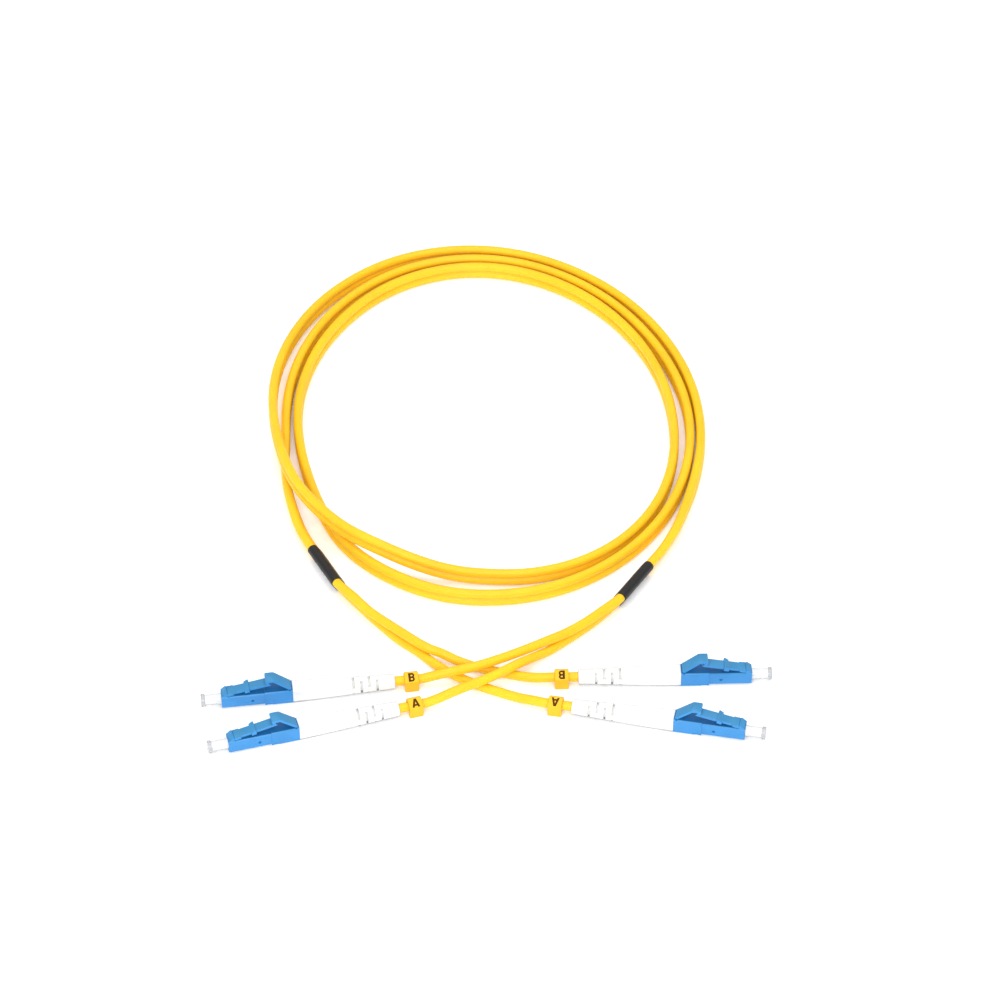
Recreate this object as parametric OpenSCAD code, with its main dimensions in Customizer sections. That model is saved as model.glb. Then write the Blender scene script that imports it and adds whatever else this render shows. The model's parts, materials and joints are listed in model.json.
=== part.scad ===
// Duplex single-mode fiber optic patch cord with four small-form plugs.
// Flat zip cord wound in an oval coil, split into two legs at each end.
// Frame: +X to the right, +Y towards the coil, +Z up, z = 0 the table.
// The origin is under the middle of the four plugs. Millimetres.
// Plug frame: +x runs from the front face to the cable, the axis is z = 0.

/* [Cord] */
// Diameter of one jacket of the zip cord
cord_d = 3.0; // [2.8:0.05:3.1]
// Width of the web that joins the two jackets
web_w = 1.0; // [0.6:0.1:1.6]
// Diameter of the buffered fiber inside a leg
fiber_d = 0.9; // [0.5:0.05:1.0]
// Diameter of the bare glass fiber in the ferrule
glass_d = 0.125; // [0.1:0.005:0.15]

/* [Coil] */
// Width of the innermost turn, centre to centre
coil_w = 125; // [120:1:130]
// Depth of the innermost turn, centre to centre
coil_d = 157.4; // [152:0.2:162]
// How far the turns lean towards the lower right
coil_skew = 0.035; // [0.02:0.005:0.05]
// How far the turns are fuller at the near side
coil_sag = 0.02; // [0.01:0.005:0.03]
// How far the turns are fuller at the right side
coil_shift = 0.01; // [0:0.005:0.02]
// Height that the crossing turn climbs
coil_climb = 6.7; // [6.5:0.1:8]

/* [Split sleeve] */
// Length of the shrink sleeve over the split
sleeve_l = 18; // [16:0.5:22]
// Wall of the shrink sleeve
sleeve_wall = 0.25; // [0.25:0.05:0.6]
// Lean of the zip cord out of the upright in the split sleeves, in degrees
split_lean = 29; // [0:1:32]
// Distance from a split over which the zip cord leans
lean_reach = 55; // [40:1:60]
// Distance from a split over which a leg leans
leg_lean_reach = 25; // [20:1:25]

/* [Plug housing] */
// Width and height of the square nose
nose_w = 4.52; // [4.4:0.02:4.6]
// Length of the square nose
nose_l = 13.5; // [13.2:0.1:14]
// Full length of the housing
body_l = 22.3; // [22:0.1:23]
// Width of the rear body
rear_w = 5.0; // [5:0.1:5.4]
// Height of the rear body and of the boot's square end
rear_h = 5.4; // [5.3:0.05:5.6]
// Bevel along the housing's long edges
edge_bevel = 0.3; // [0.1:0.05:0.4]
// Distance of the ramp's foot from the front face
ramp_x = 0.15; // [0.05:0.05:0.3]
// Length of the ramp's flat crest
ramp_crest_l = 0.5; // [0.2:0.05:0.6]
// Depth of the bore round the ferrule
nose_bore_l = 3.6; // [3.2:0.1:3.8]
// Diameter of the bore round the ferrule
nose_bore_d = 3.2; // [3.1:0.05:3.3]
// Thickness of the wall that stops the ferrule flange
stop_wall = 0.8; // [0.6:0.1:1]
// Diameter of the hole through the stop wall
stop_hole_d = 1.9; // [1.6:0.1:2.1]
// Diameter of the spring chamber
chamber_d = 2.9; // [2.85:0.05:3.0]
// Diameter of the rear bore
rear_bore_d = 4.0; // [3.95:0.05:4.05]
// Diameter of the small side dimple
dimple_d = 1.0; // [0.6:0.1:1.2]
// Distance of the side dimple from the front face
dimple_x = 9.7; // [8:0.1:11]
// Drop of the side dimple under the plug axis
dimple_drop = 0.3; // [0:0.1:0.5]
// Depth of the side dimple
dimple_deep = 0.6; // [0.3:0.05:0.65]
// Length of the snap window low on each side
window_l = 1.9; // [1.4:0.1:2.2]
// Distance of the snap window behind the nose
window_off = 0.4; // [0.2:0.1:0.6]
// Height and half the depth of the snap window
window_h = 0.8; // [0.5:0.05:0.85]

/* [Latch arm] */
// Distance of the latch root from the front face
latch_root_x = 2.4; // [2.2:0.1:2.8]
// Height of the latch root over the plug axis
latch_root_z = 2.75; // [2.7:0.05:2.9]
// Diameter of the latch root
latch_root_d = 1.2; // [1:0.05:1.3]
// Thickness of the latch arm
latch_t = 0.9; // [0.7:0.05:1]
// Width of the latch arm
latch_w = 3.2; // [2.6:0.1:3.6]
// Length of the latch arm from its root
latch_l = 13.4; // [13:0.1:14]
// Slope of the latch arm in degrees
latch_slope = 11; // [10:0.5:12]
// Length of the latch arm's wide root
latch_foot_l = 1.6; // [1:0.1:2.4]
// Distance of the locking lugs from the root
lug_x = 6.6; // [6:0.1:7.2]
// Length of a locking lug
lug_l = 1.6; // [1.2:0.1:2]
// Length of a locking lug's flat crest
lug_crest_l = 0.5; // [0.3:0.1:0.8]
// Height of a locking lug over the arm
lug_h = 0.55; // [0.3:0.05:0.7]

/* [Trigger arm] */
// Distance of the trigger root from the housing's rear face
trigger_root_in = 0.9; // [0.7:0.1:1.1]
// Height of the trigger root over the plug axis
trigger_root_z = 3.0; // [2.95:0.05:3.1]
// Diameter of the trigger root
trigger_root_d = 1.0; // [0.9:0.05:1.1]
// Thickness of the trigger arm
trigger_t = 0.8; // [0.6:0.05:0.85]
// Width of the trigger arm
trigger_w = 4.0; // [3.4:0.1:4.4]
// Distance of the trigger's knee from the front face
knee_x = 16.6; // [16.2:0.1:17.2]
// Distance of the trigger's tip from the front face
tip_x = 13.9; // [13.6:0.1:14]
// Height of the trigger's flat top over the plug axis
trigger_top_z = 7.3; // [7.2:0.05:7.6]
// Bevel at the trigger's tip and knee
trigger_bevel = 0.3; // [0.1:0.05:0.4]
// Diameter of the nub that presses the latch
nub_d = 1.0; // [0.8:0.05:1.1]
// Distance of the nub from the front face
nub_x = 14.6; // [14.5:0.1:14.9]
// Gap between the nub and the latch arm
nub_gap = 0.1; // [0.08:0.02:0.2]

/* [Ferrule] */
// Diameter of the ceramic ferrule
ferrule_d = 1.249; // [1.245:0.001:1.252]
// Length of the ferrule
ferrule_l = 7.0; // [6.8:0.1:7.2]
// How far the ferrule stands out of the front face
ferrule_out = 1.6; // [1.4:0.1:1.8]
// Bevel at the ferrule's tip
ferrule_bevel = 0.15; // [0.05:0.05:0.2]
// Diameter of the flange
flange_d = 2.7; // [2.4:0.05:2.75]
// Length of the flange
flange_l = 2.0; // [1.6:0.1:2.2]
// Bevel at the front of the flange
flange_bevel = 0.3; // [0.1:0.05:0.4]
// Diameter of the flange's tail tube
tail_d = 1.5; // [1.3:0.05:1.6]
// Length of the flange's tail tube
tail_l = 3.2; // [2.6:0.1:3.6]

/* [Spring] */
// Wire diameter of the ferrule spring
wire_d = 0.3; // [0.2:0.02:0.34]
// Mean diameter of the ferrule spring
spring_d = 2.2; // [2.1:0.05:2.25]
// Number of turns of the ferrule spring
spring_turns = 5; // [4:1:6]

/* [Crimp] */
// How far the crimp body reaches into the spring chamber
crimp_in = 1.5; // [1.1:0.1:1.7]
// Depth of the collar's end in the housing's rear bore
collar_in = 4.3; // [3.8:0.1:4.8]
// Diameter of the crimp body's post
post_d = 2.3; // [2.1:0.05:2.4]
// Length of the crimp body's post
post_l = 7.5; // [7:0.1:8]
// Bore of the crimp body
crimp_bore_d = 1.3; // [1.2:0.05:1.5]
// Gap between the crimp body and the end of the jacket
jacket_gap = 1.0; // [0.8:0.1:1.4]
// Thickness of the aramid layer on the post
aramid_t = 0.4; // [0.3:0.05:0.45]
// Wall of the crimp sleeve
crimp_wall = 0.3; // [0.2:0.02:0.32]
// Length of crimp sleeve that grips the jacket
crimp_grip = 4; // [3:0.5:5]

/* [Boot] */
// Length of the strain relief boot
boot_l = 32.2; // [30:0.1:34]
// Diameter of the boot's cone at the housing
boot_d1 = 7.1; // [6.6:0.1:7.4]
// Diameter of the boot's cone at the cable
boot_d2 = 4.9; // [4.6:0.1:5.2]
// Bevel along the boot's square edges
boot_bevel = 0.1; // [0.05:0.05:0.3]
// Distance of the first flex slot from the cable end
slot_start = 5.6; // [5:0.1:6.4]
// Distance from one flex slot to the next
slot_pitch = 2.5; // [2.2:0.1:2.6]
// Width of a flex slot
slot_w = 0.7; // [0.5:0.05:0.9]
// Number of flex slots
slot_count = 4; // [2:1:5]
// Width of the ribs left between the flex slots
slot_rib = 2.2; // [1.8:0.1:2.6]
// Wall left under a flex slot, round the leg
slot_floor = 0.35; // [0.25:0.05:0.45]

/* [Dust cap] */
// Diameter of the dust cap's head
cap_d = 3.8; // [3.6:0.05:4.2]
// Length of the dust cap's head
cap_l = 6.4; // [6:0.1:7]
// Diameter of the dust cap's skirt in the nose
skirt_d = 3.0; // [2.6:0.05:3.0]
// Length of the dust cap's skirt
skirt_l = 3.2; // [2.8:0.1:3.4]
// Free depth in the dust cap past the ferrule's tip
cap_room = 0.6; // [0.4:0.1:1]
// Bevel at the dust cap's end
cap_bevel = 0.3; // [0.1:0.05:0.4]

/* [Cable marker] */
// Length of the cable marker
marker_l = 4.4; // [4:0.1:5.5]
// Outer diameter of the marker's ring
marker_d = 5.1; // [4.6:0.1:5.4]
// Width of the marker's mouth
marker_gap = 2.0; // [1.6:0.1:2.4]
// Distance of the marker from the boot
marker_off = 3.0; // [2:0.1:4]
// Width of the marker's letter pad
pad_w = 3.5; // [3:0.1:3.8]
// Distance of the letter pad's face from the leg's axis
pad_out = 2.7; // [2.6:0.05:3]
// Tilt of the letter pad towards the near side in degrees
pad_tilt = 30; // [15:1:35]
// Reach of the marker's foot at the near side
foot_near = 2.8; // [2.4:0.1:3]
// Reach of the marker's foot at the far side
foot_far = 2.0; // [1.6:0.1:2.4]

/* [Fits] */
// Radial running clearance of hinge roots and bores
run_gap = 0.05; // [0.03:0.01:0.06]
// Radial gap between a jacket and what grips it
grip_gap = 0.03; // [0.02:0.01:0.05]
// Gap at the ends of the spring
spring_gap = 0.05; // [0.03:0.01:0.1]
// Glue gap round the glass in the ferrule, on the diameter
glue_gap = 0.002; // [0.001:0.001:0.004]
// Gap between the buffered fiber's end and the jacket
fiber_gap = 1.0; // [0.9:0.1:1.4]
// Height of the lying zip cord over the table
lie_gap = 0.05; // [0.03:0.01:0.1]

/* [Hidden] */
ENDS = ["left_a", "left_b", "right_a", "right_b"];
PIECES = ["plug_housing", "latch_arm", "trigger_arm", "ferrule",
          "ferrule_flange", "ferrule_spring", "crimp_body", "crimp_sleeve",
          "aramid_yarn", "buffered_fiber", "strain_boot", "dust_cap",
          "cable_marker", "cord_leg"];

blue = [0.24, 0.62, 0.93];
milk = [0.96, 0.96, 0.94];
yellow = [1.0, 0.84, 0.12];
amber = [1.0, 0.74, 0.10];
black = [0.16, 0.15, 0.16];
steel = [0.72, 0.73, 0.75];
ceramic = [0.97, 0.97, 0.95];
bronze = [0.80, 0.66, 0.38];
straw = [0.93, 0.85, 0.45];

FINE = 48;
SIDES = 8;
cut = 1;
// A jacket is an octagon that is cord_d across its flats.
cord_corner_r = cord_d / 2 / cos(180 / SIDES);
grip_r = cord_corner_r + grip_gap;
cord_z = cord_d + lie_gap;
axis_z = rear_h / 2;
flange_x = nose_bore_l + stop_wall;
spring_x1 = flange_x + flange_l;
crimp_x = nose_l - crimp_in;
post_x = body_l - collar_in;
jacket_x = post_x + post_l + jacket_gap;
crimp_r = grip_r + crimp_wall;
ferrule_x1 = ferrule_l - ferrule_out;
boot_x1 = body_l + boot_l;
trigger_root_x = body_l - trigger_root_in;

// Front face of each plug, and the heading of its cable in degrees.
PLUG_AT = [[-80, -15], [-83, 4.5], [80, -9.5], [83, 15.5]];
HEADINGS = [16, 8, 169, 181.5];

// Centre of the coil, and the split sleeves with their headings to the legs.
coil_c = [-1, 139];
left_split = [-52.05, 63.7];
left_heading = -62.2;
right_split = [46.8, 56.3];
right_heading = -122;
split_z = cord_d / 2 * cos(split_lean) + grip_r + sleeve_wall;

function dir(a) = [cos(a), sin(a)];
function unit(v) = v / norm(v);
function at_split(c, a, s, z) = [each (c + s * dir(a)), z];
function plug_point(k, x) = [each (PLUG_AT[k] + x * dir(HEADINGS[k])), axis_z];

// Sweeps a closed section of [side, up] points along a path, in triangles.
// The section leans from up towards side by leans[i] degrees at path[i].
module sweep(path, section, caps, leans) {
    n = len(path);
    m = len(section);
    ahead = [for (i = [0:n - 1]) unit(path[min(i + 1, n - 1)] - path[max(i - 1, 0)])];
    side = [for (t = ahead) unit(cross(t, [0, 0, 1]))];
    up = [for (i = [0:n - 1]) cross(side[i], ahead[i])];
    points = [for (i = [0:n - 1]) for (s = section)
              let (c = cos(leans[i]), d = sin(leans[i]))
              path[i] + (s[0] * c + s[1] * d) * side[i] + (s[1] * c - s[0] * d) * up[i]];
    walls = [for (i = [0:n - 2]) for (j = [0:m - 1])
             let (a = i * m + j, b = i * m + (j + 1) % m)
             each [[a, b, b + m], [a, b + m, a + m]]];
    back = [for (c = caps) c];
    front = [for (c = caps) [for (k = [2:-1:0]) c[k] + (n - 1) * m]];
    polyhedron(points, concat(walls, front, back));
}

// One octagonal jacket, and two of them on edge with the web between.
half_step = 180 / SIDES;
function ring_section(r) = [for (k = [0:SIDES - 1]) r * dir(90 - half_step * (2 * k + 1))];
function half_pair(h, r) = [[r * sin(half_step), h + r * cos(half_step)],
                            [r * cos(half_step), h + r * sin(half_step)],
                            [r * cos(half_step), h - r * sin(half_step)]];
function pair_section() =
    let (h = cord_d / 2, r = cord_corner_r, q = half_pair(h, r),
         right = concat(q, [[web_w / 2, 0]], [for (k = [2:-1:0]) [q[k][0], -q[k][1]]]))
    concat(right, [for (k = [6:-1:0]) [-right[k][0], right[k][1]]]);
function ring_caps() = [for (k = [1:SIDES - 2]) [0, k + 1, k]];
function pair_caps() = [for (k = [0:5]) each [[13 - k, k + 1, k], [13 - k, 12 - k, k + 1]]];

// Lean at a straight distance d from a split, from full in the sleeve to none at reach.
function lean_at(d, reach) =
    let (q = min(1, max(0, (reach - d) / (reach - sleeve_l / 2))))
    split_lean * q * q * (3 - 2 * q);

// Smooth value of column c of a table whose first column is the turn angle.
function slope_at(tab, i, c) =
    i <= 0 || i >= len(tab) - 1 ? 0
    : (tab[i + 1][c] - tab[i - 1][c]) / (tab[i + 1][0] - tab[i - 1][0]);
function span_at(tab, t, i = 0) = i >= len(tab) - 2 || t < tab[i + 1][0] ? i : span_at(tab, t, i + 1);
function smooth(tab, t, c) =
    let (i = span_at(tab, t), d = tab[i + 1][0] - tab[i][0],
         s = min(1, max(0, (t - tab[i][0]) / d)), s2 = s * s, s3 = s2 * s)
    tab[i][c] * (2 * s3 - 3 * s2 + 1) + tab[i + 1][c] * (3 * s2 - 2 * s3)
    + d * (slope_at(tab, i, c) * (s3 - 2 * s2 + s) + slope_at(tab, i + 1, c) * (s3 - s2));

// Lane of the cord along its turns: angle, distance outside the innermost
// turn, and share of the climb. It crosses over itself near 200 and 230.
LANES = [[-15, 9.1, 0], [0, 8.9, 0], [30, 8.9, 0], [60, 9.6, 0], [90, 11, 0],
         [115, 11.8, 0], [135, 11.4, 0.05], [155, 10.5, 0.25], [170, 9.9, 0.5],
         [182, 9.5, 0.78], [192, 9.5, 0.97], [200, 9.8, 1], [210, 10, 1],
         [220, 9.2, 1], [230, 8.2, 1], [239, 6.4, 0.97], [247, 3.9, 0.66],
         [255, 1.5, 0.3], [263, -0.2, 0.08], [272, -1.1, 0], [285, -0.4, 0],
         [300, 0.6, 0], [315, 1.3, 0], [330, 1.2, 0], [345, 0.5, 0],
         [360, -0.1, 0], [390, 0.1, 0], [420, 0.9, 0], [450, 1.5, 0],
         [475, 0.9, 0], [500, 0.1, 0], [520, 0.5, 0], [535, 1.1, 0],
         [550, 1.7, 0], [563, 2.9, 0], [575, 5, 0], [585, 7.4, 0],
         [595, 8.9, 0], [609, 9.6, 0], [621, 9.6, 0], [632, 8.7, 0],
         [645, 7.6, 0], [660, 6.6, 0], [675, 6, 0], [700, 5.6, 0],
         [720, 5.3, 0], [750, 4.5, 0], [780, 5.1, 0], [810, 6, 0],
         [835, 5.7, 0], [855, 5.1, 0], [875, 4.8, 0], [890, 4.9, 0],
         [902, 5.4, 0], [910, 6.4, 0], [915, 7.8, 0]];
turn_from = LANES[0][0];
turn_to = LANES[len(LANES) - 1][0];
turn_step = 360 / 24;

function coil_point(t) =
    let (r = 1 - coil_skew * sin(2 * t) - coil_sag * sin(t) + coil_shift * cos(t),
         p = coil_c + r * [coil_w / 2 * cos(t), coil_d / 2 * sin(t)],
         out = unit([cos(t) / coil_w, sin(t) / coil_d]))
    [each (p + smooth(LANES, t, 1) * out), cord_z + coil_climb * smooth(LANES, t, 2)];

// Free ends of the coil, from each split sleeve to its first turn.
RIGHT_RUN = [[57, 73.1], [61.3, 82.2], [64.9, 92.9], [68, 104.3]];
LEFT_RUN = [[-66.4, 104], [-63.9, 92], [-60.6, 81.2]];
coil_turns = [for (t = [turn_from:turn_step:turn_to]) coil_point(t)];
function run_leans(run, split) = [for (p = run) lean_at(norm(p - split), lean_reach)];
// A leaning zip cord rests on a corner of its lower jacket.
function lying_z(lean) = lie_gap + cord_d / 2 * cos(lean) + cord_corner_r * cos(lean - half_step);
function run_points(run, leans) = [for (i = [0:len(run) - 1]) [each run[i], lying_z(leans[i])]];
right_leans = run_leans(RIGHT_RUN, right_split);
left_leans = run_leans(LEFT_RUN, left_split);
coil_leans = concat([split_lean, split_lean], right_leans, [for (p = coil_turns) 0],
                    left_leans, [split_lean, split_lean]);
coil_path = concat([at_split(right_split, right_heading, 0, split_z),
                    at_split(right_split, right_heading, -sleeve_l / 2, split_z)],
                   run_points(RIGHT_RUN, right_leans), coil_turns,
                   run_points(LEFT_RUN, left_leans),
                   [at_split(left_split, left_heading, -sleeve_l / 2, split_z),
                    at_split(left_split, left_heading, 0, split_z)]);

// Least gap of the zip cord to itself, on four points from ring to ring.
along = [for (i = [0:len(coil_path) - 2]) for (s = [0:0.25:0.75])
         (1 - s) * coil_path[i] + s * coil_path[i + 1]];
function pair_gap(a, b) =
    norm([norm([a[0] - b[0], a[1] - b[1]]), max(0, abs(a[2] - b[2]) - cord_d)]) - cord_d;
coil_gap = min([for (i = [0:len(along) - 1]) for (j = [i + 24:1:len(along) - 1])
                pair_gap(along[i], along[j])]);
echo(coil_gap = coil_gap);

// Free stretches of the legs between a split sleeve and a plug, by hand.
LEG_RUNS = [
    [[38.0, 45.0, 1.7], [34.3, 40.6, 1.7], [29.5, 35.8, 1.7], [26.2, 32.7, 1.7],
     [23.0, 29.9, 1.7], [19.8, 27.0, 1.8], [16.6, 24.2, 2.5], [13.4, 21.2, 3.6],
     [10.2, 18.3, 4.6], [6.4, 15.2, 5.0], [0.4, 11.2, 5.0], [-5.6, 7.9, 5.0],
     [-11.5, 4.9, 4.6], [-16.0, 3.1, 3.6]],
    [[37.4, 42.4, 5.0], [31.0, 36.3, 4.9], [24.6, 31.4, 4.9], [18.2, 27.6, 4.9],
     [11.9, 23.9, 5.0], [4.0, 19.8, 5.0], [-4.0, 16.3, 5.0], [-11.2, 14.2, 4.9],
     [-16.5, 13.5, 3.8]],
    [[-42.9, 50.2, 1.7], [-37.5, 43.2, 1.6], [-32.6, 37.3, 1.5], [-27.6, 31.7, 1.5],
     [-21.7, 26.4, 1.5], [-15.7, 20.3, 1.5], [-9.7, 15.6, 1.5], [-3.4, 11.8, 1.5],
     [3.4, 8.6, 1.5], [10.0, 5.9, 1.6], [15.2, 3.7, 2.4]],
    [[-42.9, 48.1, 5.05], [-37.4, 41.4, 4.8], [-32.5, 36.7, 4.8], [-27.7, 32.4, 4.8],
     [-21.6, 27.0, 4.8], [-18.2, 24.9, 4.4], [-14.4, 24.4, 2.9], [-9.2, 22.4, 1.5],
     [-3.7, 19.8, 1.5], [2.4, 17.8, 1.5], [8.8, 16.0, 1.5], [14.2, 14.4, 2.1]]];
// Each leg runs straight through its marker and a little further.
leg_straight = marker_off + marker_l + 1;
leg_xs = [boot_x1 + leg_straight, boot_x1, jacket_x + crimp_grip, jacket_x];

// Length of cord between the front faces of the two b plugs.
function path_length(p) =
    [for (i = [1:len(p) - 1]) norm(p[i] - p[i - 1])] * [for (i = [1:len(p) - 1]) 1];

function leg_path(k) =
    let (to_left = k < 2, half = (k % 2 == 0 ? -1 : 1) * cord_d / 2,
         c = to_left ? right_split : left_split,
         a = to_left ? right_heading : left_heading,
         off = half * sin(split_lean) * dir(a + (to_left ? 90 : -90)),
         z = split_z + half * cos(split_lean))
    concat([at_split(c + off, a, 0, z), at_split(c + off, a, sleeve_l / 2, z)],
           LEG_RUNS[k],
           [for (x = leg_xs) plug_point(k, x)]);
function leg_leans(k) =
    let (c = k < 2 ? right_split : left_split)
    [for (p = leg_path(k)) (k < 2 ? -1 : 1) * lean_at(norm([p[0], p[1]] - c), leg_lean_reach)];
echo(cord_length = path_length(coil_path) + path_length(leg_path(1)) + path_length(leg_path(3))
                   + 2 * jacket_x);

module duplex_cord() {
    color(yellow) sweep(coil_path, pair_section(), pair_caps(), coil_leans);
}

module cord_leg(k) {
    color(yellow) sweep(leg_path(k), ring_section(cord_corner_r), ring_caps(), leg_leans(k));
}

// Oval shrink sleeve, on edge and leaning like the zip cord that it holds.
module split_sleeve(c, a, lean) {
    module oval(r) {
        for (s = [-1, 1]) translate([s * cord_d / 2, 0]) circle(r, $fn = FINE);
        square([cord_d, 2 * r], center = true);
    }
    color(black)
        translate([c[0], c[1], split_z]) rotate([0, 90, a]) rotate(-lean)
            linear_extrude(sleeve_l, center = true)
                difference() {
                    oval(grip_r + sleeve_wall);
                    oval(grip_r);
                }
}

// Helpers in the plug's frame.
module rod(x0, x1, d, d2 = 0) {
    translate([x0, 0, 0]) rotate([0, 90, 0])
        cylinder(h = x1 - x0, d1 = d, d2 = d2 == 0 ? d : d2, $fn = FINE);
}
module pipe(x0, x1, d, bore) {
    difference() {
        rod(x0, x1, d);
        rod(x0 - cut, x1 + cut, bore);
    }
}
module bar(x0, x1, w, h, b) {
    y = w / 2;
    z = h / 2;
    translate([x0, 0, 0]) rotate([90, 0, 90]) linear_extrude(x1 - x0)
        polygon([[y, z - b], [y - b, z], [b - y, z], [-y, z - b],
                 [-y, b - z], [b - y, -z], [y - b, -z], [y, b - z]]);
}
module across(w) {
    rotate([90, 0, 0]) linear_extrude(w, center = true) children();
}
module cross_pin(x, z, d, w) {
    translate([x, 0, z]) rotate([90, 0, 0]) cylinder(h = w, d = d, center = true, $fn = FINE);
}

module plug_housing() {
    top = nose_w / 2;
    r = latch_root_d / 2;
    crest = latch_root_z + r - run_gap;
    hook_x = latch_root_x - r;
    color(blue) difference() {
        union() {
            bar(0, nose_l, nose_w, nose_w, edge_bevel);
            bar(nose_l, body_l, rear_w, rear_h, edge_bevel);
            across(nose_w - 2 * edge_bevel)
                polygon([[ramp_x, top - edge_bevel], [latch_root_x, top - edge_bevel],
                         [latch_root_x, top], [hook_x, crest],
                         [hook_x - ramp_crest_l, crest], [ramp_x, top]]);
        }
        rod(-cut, nose_bore_l, nose_bore_d);
        rod(nose_bore_l - cut, flange_x + cut, stop_hole_d);
        rod(flange_x, nose_l + cut, chamber_d);
        rod(nose_l, body_l + cut, rear_bore_d);
        cross_pin(latch_root_x, latch_root_z, latch_root_d + 2 * run_gap, nose_w + cut);
        cross_pin(trigger_root_x, trigger_root_z, trigger_root_d + 2 * run_gap, rear_w + cut);
        for (s = [-1, 1]) {
            translate([dimple_x, s * nose_w / 2, -dimple_drop]) rotate([90, 0, 0])
                cylinder(h = 2 * dimple_deep, d = dimple_d, center = true, $fn = FINE);
            translate([nose_l + window_off, (s * rear_w - window_h) / 2, -rear_h / 2 - cut])
                cube([window_l, window_h, window_h + cut]);
        }
    }
}

module latch_arm() {
    r = latch_t / 2;
    color(blue) translate([latch_root_x, 0, latch_root_z]) {
        cross_pin(0, 0, latch_root_d, nose_w - 2 * edge_bevel);
        rotate([0, -latch_slope, 0]) {
            translate([0, -(nose_w / 2 - edge_bevel), -r])
                cube([latch_foot_l, nose_w - 2 * edge_bevel, latch_t]);
            across(latch_w)
                polygon([[0, -r], [latch_l, -r], [latch_l, 0], [latch_l - r, r], [0, r]]);
            across(nose_w)
                polygon([[lug_x - lug_l, -r], [lug_x, -r], [lug_x, r + lug_h],
                         [lug_x - lug_crest_l, r + lug_h], [lug_x - lug_l, r]]);
        }
    }
}

// The nub sits nub_gap over the latch arm's top face.
nub_z = latch_root_z + (nub_x - latch_root_x) * tan(latch_slope)
        + (latch_t / 2 + nub_gap + nub_d / 2) / cos(latch_slope);

module trigger_arm() {
    t = trigger_t;
    dx = trigger_root_x - knee_x;
    dz = trigger_top_z - t / 2 - trigger_root_z;
    lean = atan2(dz, dx);
    n = t / 2 * [sin(lean), cos(lean)];
    root = [trigger_root_x, trigger_root_z];
    knee = [knee_x, trigger_top_z - t / 2];
    color(blue) {
        cross_pin(root[0], root[1], trigger_root_d, trigger_w);
        across(trigger_w)
            polygon([root + n, knee + n, [knee_x - trigger_bevel, trigger_top_z],
                     [tip_x + trigger_bevel, trigger_top_z], [tip_x, trigger_top_z - trigger_bevel],
                     [tip_x, nub_z], [nub_x, nub_z], [nub_x + nub_d / 2, trigger_top_z - t],
                     [knee_x - trigger_bevel, trigger_top_z - t], knee - n, root - n]);
        cross_pin(nub_x, nub_z, nub_d, trigger_w);
    }
}

module ferrule() {
    color(ceramic) difference() {
        union() {
            rod(-ferrule_out, ferrule_bevel - ferrule_out, ferrule_d - 2 * ferrule_bevel, ferrule_d);
            rod(ferrule_bevel - ferrule_out, ferrule_x1, ferrule_d);
        }
        rod(-ferrule_out - cut, ferrule_x1 + cut, glass_d + glue_gap);
    }
}

module ferrule_flange() {
    color(steel) difference() {
        union() {
            rod(flange_x, flange_x + flange_bevel, flange_d - 2 * flange_bevel, flange_d);
            rod(flange_x + flange_bevel, spring_x1, flange_d);
            rod(spring_x1 - cut / 2, spring_x1 + tail_l, tail_d);
        }
        rod(flange_x - cut, ferrule_x1, ferrule_d);
        rod(ferrule_x1 - cut / 2, spring_x1 + tail_l + cut, fiber_d + 2 * grip_gap);
    }
}

// Open spring of 8 rings a turn, each ring a hexagon square to the wire.
module ferrule_spring() {
    x0 = spring_x1 + spring_gap + wire_d / 2;
    x1 = crimp_x - spring_gap - wire_d / 2;
    n = 8 * spring_turns;
    m = 6;
    pitch = (x1 - x0) / n;
    lead = (x1 - x0) / (PI * spring_d * spring_turns);
    points = [for (i = [0:n]) for (j = [0:m - 1])
              let (a = 45 * i, b = 60 * j, r = spring_d / 2 + wire_d / 2 * cos(b),
                   w = wire_d / 2 * sin(b))
              [x0 + pitch * i + w, r * cos(a) + lead * w * sin(a), r * sin(a) - lead * w * cos(a)]];
    walls = [for (i = [0:n - 1]) for (j = [0:m - 1])
             let (p = i * m + j, q = i * m + (j + 1) % m)
             each [[p, q + m, q], [p, p + m, q + m]]];
    ends = [for (k = [1:m - 2]) each [[0, k, k + 1], [n * m, n * m + k + 1, n * m + k]]];
    color(steel) polyhedron(points, concat(walls, ends));
}

module crimp_body() {
    color(bronze) difference() {
        union() {
            rod(crimp_x, nose_l + cut / 2, chamber_d - 2 * grip_gap);
            rod(nose_l, post_x, rear_bore_d - 2 * grip_gap);
            rod(post_x - cut / 2, post_x + post_l, post_d);
        }
        rod(crimp_x - cut, post_x + post_l + cut, crimp_bore_d);
    }
}

module aramid_yarn() {
    color(straw) pipe(post_x, jacket_x, post_d + 2 * grip_gap + 2 * aramid_t, post_d + 2 * grip_gap);
}

module crimp_sleeve() {
    color(steel) pipe(post_x, jacket_x + crimp_grip, 2 * crimp_r, 2 * grip_r);
}

// Coated fiber, with the bare glass glued in the ferrule.
module buffered_fiber() {
    color(milk) union() {
        rod(-ferrule_out, ferrule_x1 + cut, glass_d);
        rod(ferrule_x1, jacket_x - fiber_gap, fiber_d);
    }
}

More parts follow.
